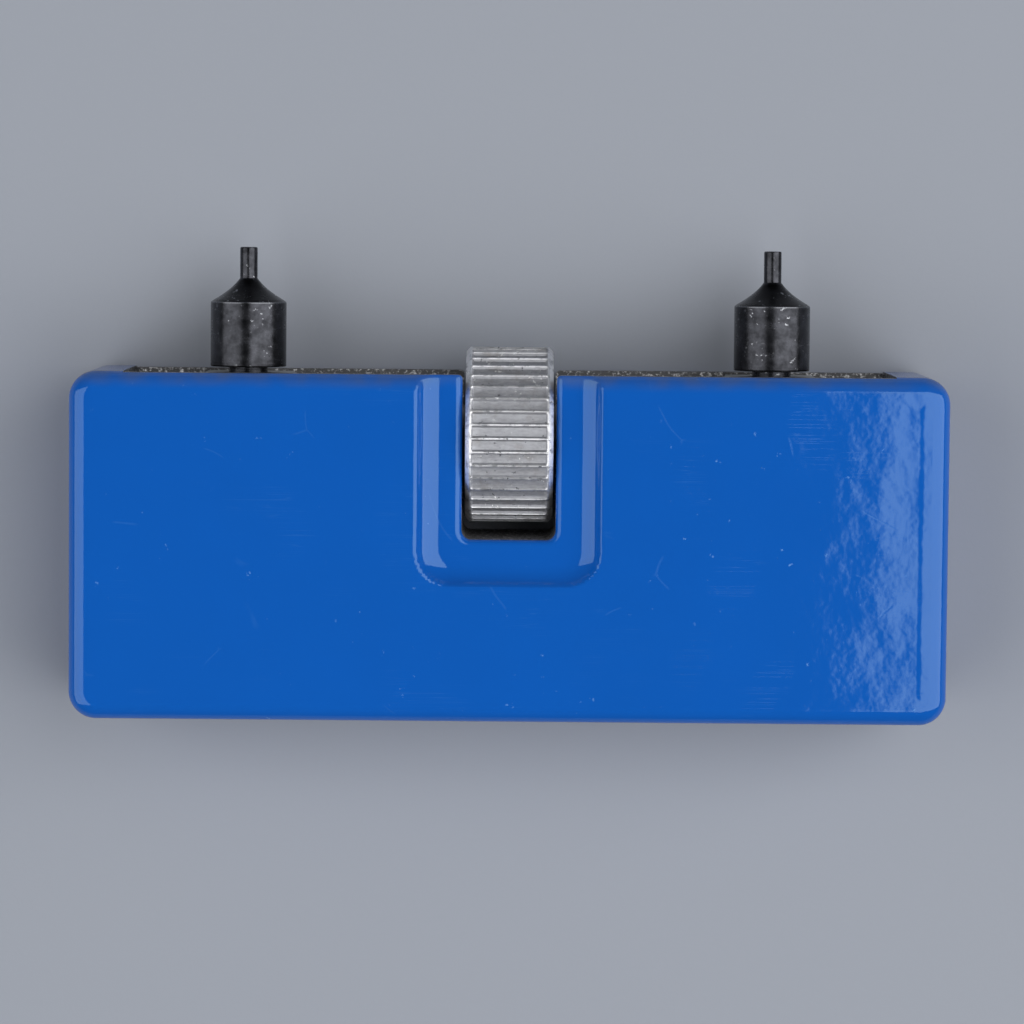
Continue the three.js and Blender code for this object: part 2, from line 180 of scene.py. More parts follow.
class StageSettings(bpy.types.PropertyGroup):
    camera_distance: length("Camera distance", "Distance from the camera to the tool", 300.7)
    camera_tilt: angle("Camera tilt", "Tilt of the camera towards the tips", 3.99)
    camera_roll: angle("Camera roll", "Turn of the picture", 0.5)
    aim_offset: length("Aim offset", "How far the picture's middle lies above the block's", 2.7)
    aim_side: length("Aim side", "How far the picture's middle lies to the right of the block's", 0.24)
    field_width: length("Field width", "Width of what the camera sees at the front face", 73)
    key_power: wattage("Key power", "Power of each square metre of the right softbox", 8.83)
    fill_power: wattage("Fill power", "Power of each square metre of the left softbox", 6.39)
    key_edge: IntProperty(name="Key edge", description="Strips that the key fades in over", default=6, min=1)
    ambient: share("Ambient", "Strength of the room's own light", 0.125)


# ---------------------------------------------------------------- shader building

class Signal:
    """A number that varies over a surface: arithmetic on it adds Math nodes."""

    def __init__(self, finish, socket):
        self.finish = finish
        self.socket = socket

    def _math(self, operation, *values):
        return self.finish.node("ShaderNodeMath", {"operation": operation}, dict(enumerate(values)))

    def __add__(self, other):
        return self._math("ADD", self, other)

    __radd__ = __add__

    def __sub__(self, other):
        return self._math("SUBTRACT", self, other)

    def __rsub__(self, other):
        return self._math("SUBTRACT", other, self)

    def __mul__(self, other):
        return self._math("MULTIPLY", self, other)

    __rmul__ = __mul__

    def most(self, other):
        return self._math("MAXIMUM", self, other)

    def rise(self, start, end):
        """0 below start and 1 above end, with a smooth step between; start above end turns it round."""
        settings = {"interpolation_type": "SMOOTHSTEP"}
        return self.finish.node(
            "ShaderNodeMapRange", settings, {"Value": self, "From Min": start, "From Max": end}
        )


class Finish:
    """A material that is put together node by node round one Principled BSDF."""

    def __init__(self, name, **constants):
        self.material = bpy.data.materials.new(name)
        self.material.use_nodes = True
        self.tree = self.material.node_tree
        self.tree.nodes.clear()
        output = self.tree.nodes.new("ShaderNodeOutputMaterial")
        self.shader = self.tree.nodes.new("ShaderNodeBsdfPrincipled")
        self.tree.links.new(self.shader.outputs[0], output.inputs["Surface"])
        for socket, value in constants.items():
            self.shader.inputs[socket.replace("_", " ").title().replace("Ior", "IOR")].default_value = value
        self.place = self.node("ShaderNodeTexCoord", output="Object")

    def node(self, kind, settings=None, sockets=None, output=0):
        """A new node's output, after its settings are set and its sockets given values or links."""
        made = self.tree.nodes.new(kind)
        for name, value in (settings or {}).items():
            setattr(made, name, value)
        for name, value in (sockets or {}).items():
            if isinstance(value, Signal):
                self.tree.links.new(value.socket, made.inputs[name])
            else:
                made.inputs[name].default_value = value
        return Signal(self, made.outputs[output])

    def feed(self, **signals):
        """Links signals to the shader's own sockets, such as Base Color or Roughness."""
        for socket, signal in signals.items():
            self.tree.links.new(signal.socket, self.shader.inputs[socket.replace("_", " ")])

    def axis(self, index):
        """One of the object coordinates: 0, 1 or 2 for x, y or z."""
        return self.node("ShaderNodeSeparateXYZ", None, {"Vector": self.place}, output=index)

    def stretched(self, scale, turn=(0, 0, 0), origin=(0, 0, 0)):
        """Object coordinates scaled by a factor along each axis after a turn about an origin."""
        moved = self.node("ShaderNodeVectorMath", {"operation": "SUBTRACT"}, {0: self.place, 1: origin})
        return self.node(
            "ShaderNodeMapping", {"vector_type": "POINT"}, {"Vector": moved, "Rotation": turn, "Scale": scale}
        )

    def warped(self, size_mm, reach_mm):
        """Object coordinates pushed about by noise, so that a straight pattern wanders."""
        sockets = {"Vector": self.place, "Scale": 1 / (size_mm * MM), "Detail": 1.0}
        push = self.node("ShaderNodeTexNoise", None, sockets, output="Color")
        settings = {"operation": "MULTIPLY_ADD"}
        return self.node("ShaderNodeVectorMath", settings, {0: push, 1: [reach_mm * MM] * 3, 2: self.place})

    def noise(self, size_mm, detail=2.0, roughness=0.5, place=None):
        """Cloudy noise from 0 to 1 whose features are about size_mm across."""
        sockets = {
            "Vector": place or self.place,
            "Scale": 1 / (size_mm * MM),
            "Detail": detail,
            "Roughness": roughness,
        }
        return self.node("ShaderNodeTexNoise", None, sockets, output="Fac")

    def cells(self, size_mm, place=None, feature="F1"):
        """Distance from the nearest of many scattered points, or from the edges between their cells."""
        sockets = {"Vector": place or self.place, "Scale": 1 / (size_mm * MM)}
        return self.node("ShaderNodeTexVoronoi", {"feature": feature}, sockets, output="Distance")

    def blend(self, factor, first, second):
        """A colour between two colours."""
        first, second = (c if isinstance(c, Signal) else (*c[:3], 1.0) for c in (first, second))
        return self.node("ShaderNodeMix", {"data_type": "RGBA"}, {0: factor, 6: first, 7: second}, output=2)

    def bump(self, height, distance_mm, strength=1.0, below=None):
        sockets = {"Height": height, "Distance": distance_mm * MM, "Strength": strength}
        if below:
            sockets["Normal"] = below
        return self.node("ShaderNodeBump", None, sockets, output="Normal")


def shaded(rgb, factor):
    return tuple(min(1.0, channel * factor) for channel in rgb)


# ---------------------------------------------------------------- finishes

def scratches(finish, turn, density):
    """Thin scattered scratches along one direction, from 0 to 1."""
    lines = finish.noise(1, 2, 0.4, finish.stretched((0.06, 3.4, 3.4), turn))
    patches = finish.noise(7, 1, 0.5, finish.stretched((1, 1, 1), turn))
    return lines.rise(0.5 - density, 0.5) * (1 - lines.rise(0.5, 0.5 + density)) * patches.rise(0.56, 0.68)


def enamel(colours):
    """Glossy blue enamel with orange peel, faint scratches, dust, slight variation and painted shade
    darkening its top edge.
    """
    finish = Finish("blue_enamel", ior=1.5, specular_tint=(0.66, 0.95, 1.0, 1.0))
    cloud = finish.noise(9, 3, 0.6)
    rising = scratches(finish, (0, 0, radians(38)), 0.012)
    falling = scratches(finish, (0, 0, radians(-24)), 0.010)
    scuffs = rising.most(falling)
    hairs = 1 - finish.cells(11, finish.warped(6, 3), "DISTANCE_TO_EDGE").rise(0.002, 0.008)
    hairs = hairs * finish.noise(3.2, 1).rise(0.58, 0.66)
    specks = finish.noise(0.55, 3, 0.6).rise(0.69, 0.76) * finish.noise(4, 2).rise(0.47, 0.6)
    base = finish.blend(cloud, shaded(colours.enamel, 0.95), shaded(colours.enamel, 1.05))
    base = finish.blend(scuffs * 0.05 + hairs * 0.05, base, (0.12, 0.32, 0.66))
    base = finish.blend(specks * 0.3, base, (0.16, 0.36, 0.70))
    # painted shade: over the last 1.3 mm below the top edge the enamel darkens towards grey-blue, standing in
    # for light that edge doesn't get; the same mask also roughens it
    top_edge_shade = finish.axis(1).rise(HOUSING.high.y - 1.3 * MM, HOUSING.high.y - 0.3 * MM)
    base = finish.blend(top_edge_shade * finish.noise(2.5, 2).rise(0.2, 0.8) * 0.55, base, (0.07, 0.09, 0.14))
    roughness = 0.04 + 0.08 * scuffs + 0.1 * hairs + 0.25 * specks + 0.12 * top_edge_shade
    wave = finish.bump(finish.noise(4, 1.5, 0.45), 0.026)
    peel = finish.noise(1.3, 2.5, 0.52)
    normal = finish.bump(peel - 0.05 * scuffs - 0.1 * hairs + 0.3 * specks, 0.0085, below=wave)
    finish.feed(Base_Color=base, Roughness=roughness, Normal=normal)
    return finish.material


def bare_alloy(colours):
    """Milled die-cast alloy: bright torn specks on a dull, smeared ground."""
    finish = Finish("bare_alloy", metallic=1.0)
    specks = finish.noise(0.28, 3, 0.7)
    smear = finish.noise(1.0, 2, 0.6, finish.stretched((0.5, 3, 3)))
    bright = specks.rise(0.5, 0.68)
    base = finish.blend(bright, shaded(colours.bare_alloy, 0.35), shaded(colours.bare_alloy, 1.5))
    normal = finish.bump(specks + 0.5 * smear, 0.05)
    finish.feed(Base_Color=base, Roughness=0.62 - 0.3 * bright + 0.1 * smear, Normal=normal)
    return finish.material


def wheel_alloy(colours):
    """Knurled alloy: dull grooves, crests and rims rubbed bright, small stains and nicks."""
    finish = Finish("knurled_alloy", metallic=1.0)
    spoke = finish.stretched((0, 1, 1), origin=WHEEL.middle)
    radius = finish.node("ShaderNodeVectorMath", {"operation": "LENGTH"}, {0: spoke}, output="Value")
    across = finish.stretched((1, 0, 0), origin=WHEEL.middle)
    side = finish.node("ShaderNodeVectorMath", {"operation": "LENGTH"}, {0: across}, output="Value")
    crest, half = WHEEL.size.y / 2, WHEEL.size.x / 2
    ridge_tops = radius.rise(crest - 0.09 * MM, crest - 0.02 * MM)
    rims = side.rise(half - 0.42 * MM, half - 0.32 * MM)
    rubbed = ridge_tops.most(rims)
    stain = finish.noise(1.6, 4, 0.65).rise(0.52, 0.74)
    grain = finish.noise(0.22, 3, 0.6, finish.stretched((0.5, 1, 1)))
    nicks = finish.noise(0.35, 3, 0.6).rise(0.63, 0.70) * finish.noise(2.2, 2).rise(0.46, 0.58)
    base = finish.blend(grain, shaded(colours.wheel_alloy, 0.65), shaded(colours.wheel_alloy, 1.35))
    worn = finish.noise(0.7, 3, 0.6).rise(0.32, 0.52)
    pits = finish.noise(0.4, 3, 0.65).rise(0.36, 0.29)
    base = finish.blend(rubbed * worn * 0.9, base, (0.86, 0.86, 0.88))
    base = finish.blend(stain * 0.5, base, (0.26, 0.24, 0.22))
    base = finish.blend(pits * 0.8, base, (0.05, 0.05, 0.06))
    base = finish.blend(nicks * 0.7, base, (0.95, 0.95, 0.95))
    normal = finish.bump(grain + 1.5 * nicks - pits, 0.026)
    roughness = 0.6 + 0.1 * grain - 0.22 * rubbed - 0.2 * nicks
    finish.feed(Base_Color=base, Roughness=roughness, Normal=normal)
    return finish.material


def steel(name, rgb, roughness, grain_scale, stain_rgb):
    """Machined steel: fine marks along one direction, with a little staining."""
    finish = Finish(name, metallic=1.0)
    marks = finish.noise(0.5, 3, 0.6, finish.stretched(grain_scale))
    stain = finish.noise(1.8, 4, 0.6).rise(0.5, 0.75)
    base = finish.blend(marks, shaded(rgb, 0.78), shaded(rgb, 1.14))
    base = finish.blend(stain * 0.4, base, stain_rgb)
    finish.feed(
        Base_Color=base, Roughness=roughness + 0.12 * marks + 0.12 * stain, Normal=finish.bump(marks, 0.008)
    )
    return finish.material


def black_oxide(colours):
    """Blackened turned steel: fine turning rings, painted shade that makes the hollow shoulder near black,
    pale nicks and a few rust specks.
    """
    finish = Finish("black_oxide", metallic=1.0)
    sizes = bpy.context.scene.opener_tips
    y = finish.axis(1)
    pin_foot = TIP["left"].high.y - sizes.pin_length
    foot = pin_foot - sizes.shoulder_length
    # painted shade: the hollow shoulder is painted near black, standing in for the dark surroundings that it
    # reflects
    painted_shoulder_shade = y.rise(foot - 0.03 * MM, foot + 0.03 * MM) * (1 - y.rise(pin_foot - 0.2 * MM, pin_foot))
    rings = finish.noise(0.5, 2, 0.5, finish.stretched((0.1, 4, 0.1)))
    blotch = finish.noise(0.7, 4, 0.65)
    nicks = finish.noise(0.33, 3, 0.6).rise(0.62, 0.69) * finish.noise(1.7, 2).rise(0.46, 0.56)
    rub = y.rise(foot - 0.14 * MM, foot - 0.06 * MM) * (1 - y.rise(foot - 0.02 * MM, foot + 0.02 * MM))
    rust = (1 - finish.cells(2.3).rise(0.03, 0.07)) * finish.noise(3, 1).rise(0.5, 0.6)
    dark, pale = shaded(colours.black_oxide, 0.55), shaded(colours.black_oxide, 1.6)
    base = finish.blend(blotch.rise(0.25, 0.78), dark, pale)
    base = finish.blend(painted_shoulder_shade * 0.75, base, (0.004, 0.004, 0.004))
    base = finish.blend(nicks * 0.7, base, (0.32, 0.33, 0.35))
    base = finish.blend(rub * 0.3, base, (0.28, 0.29, 0.31))
    base = finish.blend(rust * 0.8, base, (0.35, 0.12, 0.04))
    roughness = 0.16 + 0.13 * blotch + 0.06 * rings + 0.3 * rust
    finish.feed(Base_Color=base, Roughness=roughness, Normal=finish.bump(rings + 0.8 * blotch, 0.006))
    return finish.material


def paper(colours):
    """Pale grey paper with hardly any texture."""
    finish = Finish("paper")
    tooth = finish.noise(0.5, 3, 0.6)
    base = finish.blend(finish.noise(120, 2, 0.5), shaded(colours.floor, 0.98), shaded(colours.floor, 1.02))
    roughness = 0.85 + 0.1 * tooth
    finish.feed(Base_Color=base, Roughness=roughness, Normal=finish.bump(tooth, 0.02, 0.4))
    return finish.material


# ---------------------------------------------------------------- meshes

class Patch:
    """Vertices and faces being gathered, with one material number for each face."""

    def __init__(self):
        self.vertices = []
        self.faces = []
        self.finishes = []

    def grid(self, rows, closed=False):
        """A sheet through rows of points; a closed one joins each row's end to its start."""
        start = len(self.vertices)
        width = len(rows[0])
        for row in rows:
            self.vertices.extend(row)
        for i in range(len(rows) - 1):
            for j in range(width if closed else width - 1):
                k = (j + 1) % width
                a, b = start + i * width, start + (i + 1) * width
                self.faces.append((a + j, a + k, b + k, b + j))
                self.finishes.append(0)

    def mesh(self, name, weld_mm=0.0005, place=None):
        """One mesh: coincident points welded, loose ones removed, faces turned outwards."""
        made = bmesh.new()
        points = [made.verts.new(v) for v in self.vertices]
        for face, finish in zip(self.faces, self.finishes):
            made.faces.new([points[i] for i in face]).material_index = finish
        bmesh.ops.remove_doubles(made, verts=made.verts, dist=weld_mm * MM)
        bmesh.ops.dissolve_degenerate(made, dist=weld_mm * MM, edges=made.edges)
        loose = [v for v in made.verts if not v.link_faces]
        bmesh.ops.delete(made, geom=loose, context="VERTS")
        bmesh.ops.recalc_face_normals(made, faces=made.faces)
        if place:
            made.transform(place)
        mesh = bpy.data.meshes.new(name)
        made.to_mesh(mesh)
        made.free()
        return mesh


def ring(x, radius, sides):
    """A ring of points round the X axis."""
    turns = [2 * pi * step / sides for step in range(sides)]
    return [(x, radius * cos(turn), radius * sin(turn)) for turn in turns]


def turned(patch, profile, sides):
    """A surface turned round the X axis through (x, radius) points; a radius of 0 closes it."""
    patch.grid([ring(x, max(radius, 0.0), sides) for x, radius in profile], closed=True)


def arc(centre, radius, start, end, steps):
    """Points (x, radius) on a circular arc, angles in degrees from +X towards +radius."""
    angles = [radians(start + (end - start) * i / steps) for i in range(steps + 1)]
    return [(centre[0] + radius * cos(a), centre[1] + radius * sin(a)) for a in angles]


def thread_radius(phase, crest, root):
    """A thread's radius at a share of its pitch: flat root at 0, flat crest at a half, straight flanks."""
    root_edge, crest_edge = 0.13, 0.44
    away = 0.5 - abs(phase % 1 - 0.5)
    share_up = (away - root_edge) / (crest_edge - root_edge)
    return root + (crest - root) * min(max(share_up, 0), 1)


def thread(patch, x0, x1, crest, root, pitch, hand, sides, taper0, taper1, steps=10):
    """A thread round the X axis from x0 to x1, tapered to a smaller radius at a clean ring at each end.

    The rows follow the helix, and those that run past an end are gathered on its ring."""
    turns = (x1 - x0) / pitch + 1
    count = ceil(turns * steps)
    step = pitch / steps

    def point(row, side):
        turn = side / sides
        along = (x0 if hand > 0 else -x1) - pitch + row * step + pitch * turn
        low, high = (x0, x1) if hand > 0 else (-x1, -x0)
        x = min(max(along, low), high) * hand
        radius = thread_radius(along / pitch - turn, crest, root)
        for end, (size, run) in ((x0, taper0), (x1, taper1)):
            radius = min(radius, size + (crest - size) * abs(x - end) / run)
        angle = 2 * pi * turn
        return x, radius * cos(angle), radius * sin(angle)

    start = len(patch.vertices)
    rows = count + 1
    for row in range(rows):
        patch.vertices.extend(point(row, side) for side in range(sides))

    def index(row, side):
        if side == sides:
            row, side = min(row + steps, rows - 1), 0
        return start + row * sides + side

    for row in range(rows - 1):
        for side in range(sides):
            below = [index(row, side), index(row, side + 1)]
            above = [index(row + 1, side + 1), index(row + 1, side)]
            corners = list(dict.fromkeys(below + above))
            if len(corners) > 2:
                patch.faces.append(corners)
                patch.finishes.append(0)


def piece(name, mesh, materials, node, body, sharp_degrees=32):
    """A finished object from a mesh, smooth but for its sharp edges, that rides on its body."""
    for material in materials:
        if material.name not in mesh.materials:
            mesh.materials.append(material)
    mesh.shade_smooth()
    mesh.set_sharp_from_angle(angle=radians(sharp_degrees))
    obj = bpy.data.objects.new(name, mesh)
    bpy.context.scene.collection.objects.link(obj)
    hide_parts(node)
    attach(obj, body)
    return obj


def baked(obj):
    """The object's mesh with its modifiers applied, after which the object is removed."""
    graph = bpy.context.evaluated_depsgraph_get()
    mesh = bpy.data.meshes.new_from_object(obj.evaluated_get(graph))
    bpy.data.objects.remove(obj)
    return mesh


def cut(mesh, cutters):
    """A mesh with others cut out of it. The new faces take the cutters' materials."""
    scene = bpy.context.scene
    target = bpy.data.objects.new("blank", mesh)
    scene.collection.objects.link(target)
    tools = []
    for cutter in cutters:
        tool = bpy.data.objects.new("cutter", cutter)
        scene.collection.objects.link(tool)
        tools.append(tool)
        modifier = target.modifiers.new("cut", "BOOLEAN")
        modifier.operation = "DIFFERENCE"
        modifier.solver = "EXACT"
        modifier.material_mode = "TRANSFER"
        modifier.object = tool
    result = baked(target)
    for tool in tools:
        bpy.data.objects.remove(tool)
    return result


# ---------------------------------------------------------------- the painted block

def fallen(inset, radius):
    """How far a rounded edge has fallen, at a distance inside its outer line."""
    if inset >= radius:
        return 0.0
    return radius - sqrt(max(radius**2 - (radius - max(inset, 0.0)) ** 2, 0.0))


def inset_of(x, y, corner_x, corner_y, radius):
    """Distance inside a corner-rounded outline whose corner arc is centred on (corner_x, corner_y)."""
    u, v = x - corner_x, y - corner_y
    return radius - hypot(max(u, 0), max(v, 0)) - min(max(u, v), 0)


def joined_depth(a, b, sharpness):
    """Two depths in one: the deeper where the other is 0, and a rounded crease where they meet."""
    return (max(a, 0.0) ** sharpness + max(b, 0.0) ** sharpness) ** (1 / sharpness)


def smoothstep(value):
    value = min(max(value, 0.0), 1.0)
    return value * value * (3 - 2 * value)


def spread(start, end, step):
    """Evenly spaced values from start to end, about a step apart, without the last."""
    count = max(1, round(abs(end - start) / step))
    return [start + (end - start) * i / count for i in range(count)]


def edge_lines(outer, radius, direction, steps):
    """Grid lines over a rounded edge, from its flat side to its outer line, with a few inside the flat."""
    flat = outer - direction * radius
    falls = [radians(90 * i / steps) for i in range(steps + 1)]
    inside = [flat - direction * step * MM for step in (0.35, 0.25, 0.15, 0.05)]
    return [*inside, *(flat + direction * radius * sin(a) for a in falls)]


def bent_corner(u, v, round_to, square_from):
    """Turns square grid lines round a corner into arcs up to round_to from its centre.

    Beyond that they turn square again, by square_from, or never where that is no further out."""
    if u <= 0 or v <= 0:
        return u, v
    most, least = max(u, v), min(u, v)
    angle = least / most * pi / 4
    arc_share = 1.0
    if square_from > round_to:
        arc_share = 1 - smoothstep((most - round_to) / (square_from - round_to))
    along = most + (most * cos(angle) - most) * arc_share
    across = least + (most * sin(angle) - least) * arc_share
    return (along, across) if u >= v else (across, along)


class BlockShape:
    """The front of the block as a depth under its flat face, and the grid that it is drawn on."""

    def __init__(self, sizes):
        self.s = sizes
        self.half_length = HOUSING.size.x / 2
        self.top, self.bottom = HOUSING.high.y, HOUSING.low.y
        self.middle_y = HOUSING.middle.y
        self.half_height = HOUSING.size.y / 2
        self.window_half = WHEEL.size.x / 2 + sizes.window_play
        self.window_floor = WHEEL.low.y - sizes.window_floor_gap
        self.recess_half = self.window_half + sizes.recess_margin
        self.recess_floor = self.window_floor - sizes.recess_margin
        # the recess wall is two arcs that meet at the wall's steepest place
        slope = 2 * atan(sizes.recess_depth / sizes.recess_run)
        self.foot_radius = sizes.recess_run / sin(slope) - sizes.recess_edge
        self.steepest = sizes.recess_edge * sin(slope)

    def wall_depth(self, inset):
        s = self.s
        if inset <= 0:
            return 0.0
        if inset < self.steepest:
            return s.recess_edge - sqrt(s.recess_edge**2 - inset**2)
        left = max(s.recess_run - inset, 0.0)
        return s.recess_depth - (self.foot_radius - sqrt(self.foot_radius**2 - left**2))

    def window_distance(self, x, y):
        """Distance outside the window's outline, negative in the window."""
        corner = self.s.window_corner
        return -inset_of(abs(x), -y, self.window_half - corner, -self.window_floor - corner, corner)

    def depth(self, x, y):
        s = self.s
        corner_x, corner_y = self.half_length - s.corner_radius, self.half_height - s.corner_radius
        inset = inset_of(abs(x), abs(y - self.middle_y), corner_x, corner_y, s.corner_radius)
        bead = s.bead_height * smoothstep((inset - s.edge_rounding - s.bead_level) / s.bead_width)
        edge = fallen(inset, s.edge_rounding)
        corner_x = self.recess_half - s.recess_corner
        inset = inset_of(abs(x), -y, corner_x, -self.recess_floor - s.recess_corner, s.recess_corner)
        recess = self.wall_depth(inset)
        lip = fallen(self.window_distance(x, y), s.window_lip)
        return bead + joined_depth(edge, recess, s.recess_blend) + lip

    def place(self, x, y):
        """Where a grid point goes, so that the grid follows the block's and the window's corners."""
        s = self.s
        side, up = (1 if x >= 0 else -1), (1 if y >= self.middle_y else -1)
        corner_x, corner_y = self.half_length - s.corner_radius, self.half_height - s.corner_radius
        u, v = abs(x) - corner_x, abs(y - self.middle_y) - corner_y
        if u > 0 and v > 0:
            u, v = bent_corner(u, v, 1, 1)
            return side * (corner_x + u), self.middle_y + up * (corner_y + v)
        corner_x, corner_y = self.window_half - s.window_corner, self.window_floor + s.window_corner
        u, v = abs(x) - corner_x, corner_y - y
        if u > 0 and v > 0:
            reach = s.window_corner + s.window_lip
            u, v = bent_corner(u, v, reach, reach + s.recess_margin)
            return side * (corner_x + u), corner_y - v
        return x, y

    def columns(self):
        s, steps = self.s, 6
        corner = self.window_half - s.window_corner
        lip_end = self.window_half + s.window_lip
        fine, coarse = 0.13 * MM, 1.2 * MM
        past_recess = self.recess_half + 2 * fine
        flat_end = self.half_length - s.edge_rounding
        bead_end = flat_end - s.bead_level - s.bead_width
        half = [
            *spread(0, corner, coarse),
            *spread(corner, self.window_half, s.window_corner / steps),
            *(self.window_half + s.window_lip * (1 - cos(radians(90 * i / steps))) for i in range(steps)),
            *spread(lip_end, past_recess, fine),
            *spread(past_recess, bead_end, coarse),
            *spread(bead_end, flat_end - 0.35 * MM, 0.08 * MM),
            *edge_lines(self.half_length, s.edge_rounding, 1, 12),
        ]
        return [-x for x in reversed(half[1:])] + half

    def rows(self):
        s, steps = self.s, 6
        corner = self.window_floor + s.window_corner
        lip_end = self.window_floor - s.window_lip
        fine, coarse = 0.13 * MM, 1.0 * MM
        before_recess = self.recess_floor - 2 * fine
        recess_straight = self.recess_floor + s.recess_corner
        bottom_flat, top_flat = self.bottom + s.edge_rounding, self.top - s.edge_rounding
        bead = s.bead_level + s.bead_width
        return [
            *reversed(edge_lines(self.bottom, s.edge_rounding, -1, 12)),
            *spread(bottom_flat + 0.35 * MM, bottom_flat + bead, 0.08 * MM)[1:],
            *spread(bottom_flat + bead, before_recess, coarse),
            *spread(before_recess, min(recess_straight, lip_end), fine),
            *spread(min(recess_straight, lip_end), lip_end, fine),
            *(self.window_floor - s.window_lip * (1 - sin(radians(90 * i / steps))) for i in range(steps)),
            *spread(self.window_floor, corner, s.window_corner / steps),
            *spread(corner, top_flat - bead, coarse),
            *spread(top_flat - bead, top_flat - 0.35 * MM, 0.08 * MM),
            *edge_lines(self.top, s.edge_rounding, 1, 12),
        ]

    def mesh(self):
        """The closed block with its window: enamel is finish 0 and bare metal finish 1."""
        columns, rows = self.columns(), self.rows()
        tiny = 1e-7
        beside = [abs(x) < self.window_half + tiny for x in columns]
        above = [y > self.window_floor - tiny for y in rows]
        in_window = [[inside and over for over in above] for inside in beside]
        cells = [
            (i, j)
            for i in range(len(columns) - 1)
            for j in range(len(rows) - 1)
            if not all(in_window[i + a][j + b] for a in (0, 1) for b in (0, 1))
        ]
        patch = Patch()
        levels = {}

        def point(i, j, level):
            """The point's number on a level: 0 front face, 1 and 2 down the wall, 3 back face."""
            if (i, j, level) not in levels:
                x, y = self.place(columns[i], rows[j])
                fall = self.depth(x, y) + (0.05 * MM if level in (1, 2) else 0)
                levels[i, j, level] = len(patch.vertices)
                patch.vertices.append((x, y, HOUSING.high.z - fall if level < 2 else HOUSING.low.z + fall))
            return levels[i, j, level]

        edges = set()
        for i, j in cells:
            ring_round = [(i, j), (i + 1, j), (i + 1, j + 1), (i, j + 1)]
            for level in (0, 3):
                patch.faces.append([point(*corner, level) for corner in ring_round])
                patch.finishes.append(0)
            edges.update(zip(ring_round, ring_round[1:] + ring_round[:1]))
        for a, b in edges:
            if (b, a) in edges:
                continue
            bare = in_window[a[0]][a[1]] and in_window[b[0]][b[1]]
            for level in range(3):
                upper = [point(*a, level), point(*b, level)]
                lower = [point(*b, level + 1), point(*a, level + 1)]
                corners = upper + lower
                patch.faces.append(corners)
                patch.finishes.append(1 if bare and level == 1 else 0)
        return patch.mesh("housing")


def rounded_outline(x0, x1, y0, y1, radius, steps=8):
    """A rectangle with rounded corners, as points."""
    left, right, low, high = x0 + radius, x1 - radius, y0 + radius, y1 - radius
    centres = [(right, high), (left, high), (left, low), (right, low)]
    points = []
    for quarter, centre in enumerate(centres):
        points += arc(centre, radius, 90 * quarter, 90 * quarter + 90, steps)
    return points


def prism(name, outline, low, high, axes, material):
    """An outline raised along an axis: axes names those of its two values and of its height."""
    patch = Patch()
    count = len(outline)
    for height in (low, high):
        for a, b in outline:
            values = dict(zip(axes, (a, b, height)))
            patch.vertices.append((values["x"], values["y"], values["z"]))
    patch.faces = [list(range(count)), list(range(count, 2 * count))]
    patch.faces += [[i, (i + 1) % count, count + (i + 1) % count, count + i] for i in range(count)]
    patch.finishes = [0] * len(patch.faces)
    mesh = patch.mesh(name)
    mesh.materials.append(material)
    return mesh


def trough_cutter(sizes, material):
    """The milled trough that the nuts slide in, open at the top."""
    half_length = SCREW.size.x / 2 + sizes.screw_play
    half_width = NUT["left"].size.z / 2 + sizes.nut_play
    middle = HOUSING.middle.z
    walls = (middle - half_width, middle + half_width)
    outline = rounded_outline(-half_length, half_length, *walls, sizes.trough_corner)
    floor = NUT["left"].low.y - sizes.nut_floor_gap
    return prism("trough", outline, floor, HOUSING.high.y + MM, "xzy", material)


def skim_cutter(sizes, shape, material):
    """The thin cut over the lips, which turns down into the window at its ends."""
    half_length = SCREW.size.x / 2 + sizes.screw_play
    level, over = HOUSING.high.y - sizes.lip_skim, HOUSING.high.y + MM
    turn = sizes.lip_turn
    centre = (shape.window_half + 0.97 * turn, level - turn)
    down = arc(centre, turn, 90, 180, 6)
    right = [(half_length, over), (half_length, level), *down]
    outline = right + [(-x, y) for x, y in reversed(right)]
    return prism("skim", outline, HOUSING.low.z - MM, HOUSING.high.z + MM, "xyz", material)


def bore_cutter(sizes, side, material):
    """The bore for a pivot pin through one end wall."""
    pin = PIVOT[side]
    sides = 32
    radius = pin.size.z / 2 + sizes.pivot_fit
    outline = arc((pin.middle.y, pin.middle.z), radius, 0, 360 - 360 / sides, sides - 1)
    ends = sorted((SIGN[side] * SCREW.size.x / 2, SIGN[side] * (HOUSING.size.x / 2 + MM)))
    return prism("bore", outline, *ends, "yzx", material)


class OPENER_OT_housing(bpy.types.Operator):
    """Make the painted block with its recess, window, trough and bores"""

    bl_idname = "opener.housing"
    bl_label = "Painted block"

    def execute(self, context):
        sizes = context.scene.opener_housing
        shape = BlockShape(sizes)
        paint, bare = enamel(context.scene.opener_colours), bare_alloy(context.scene.opener_colours)
        blank = shape.mesh()
        blank.materials.append(paint)
        blank.materials.append(bare)
        cutters = [trough_cutter(sizes, bare), skim_cutter(sizes, shape, bare)]
        cutters += [bore_cutter(sizes, side, bare) for side in SIGN]
        block = cut(blank, cutters)
        block.name = "painted_block"
        piece("painted_block", block, [paint, bare], "housing", "block", sharp_degrees=20)
        return {"FINISHED"}


# ---------------------------------------------------------------- the knurled wheel

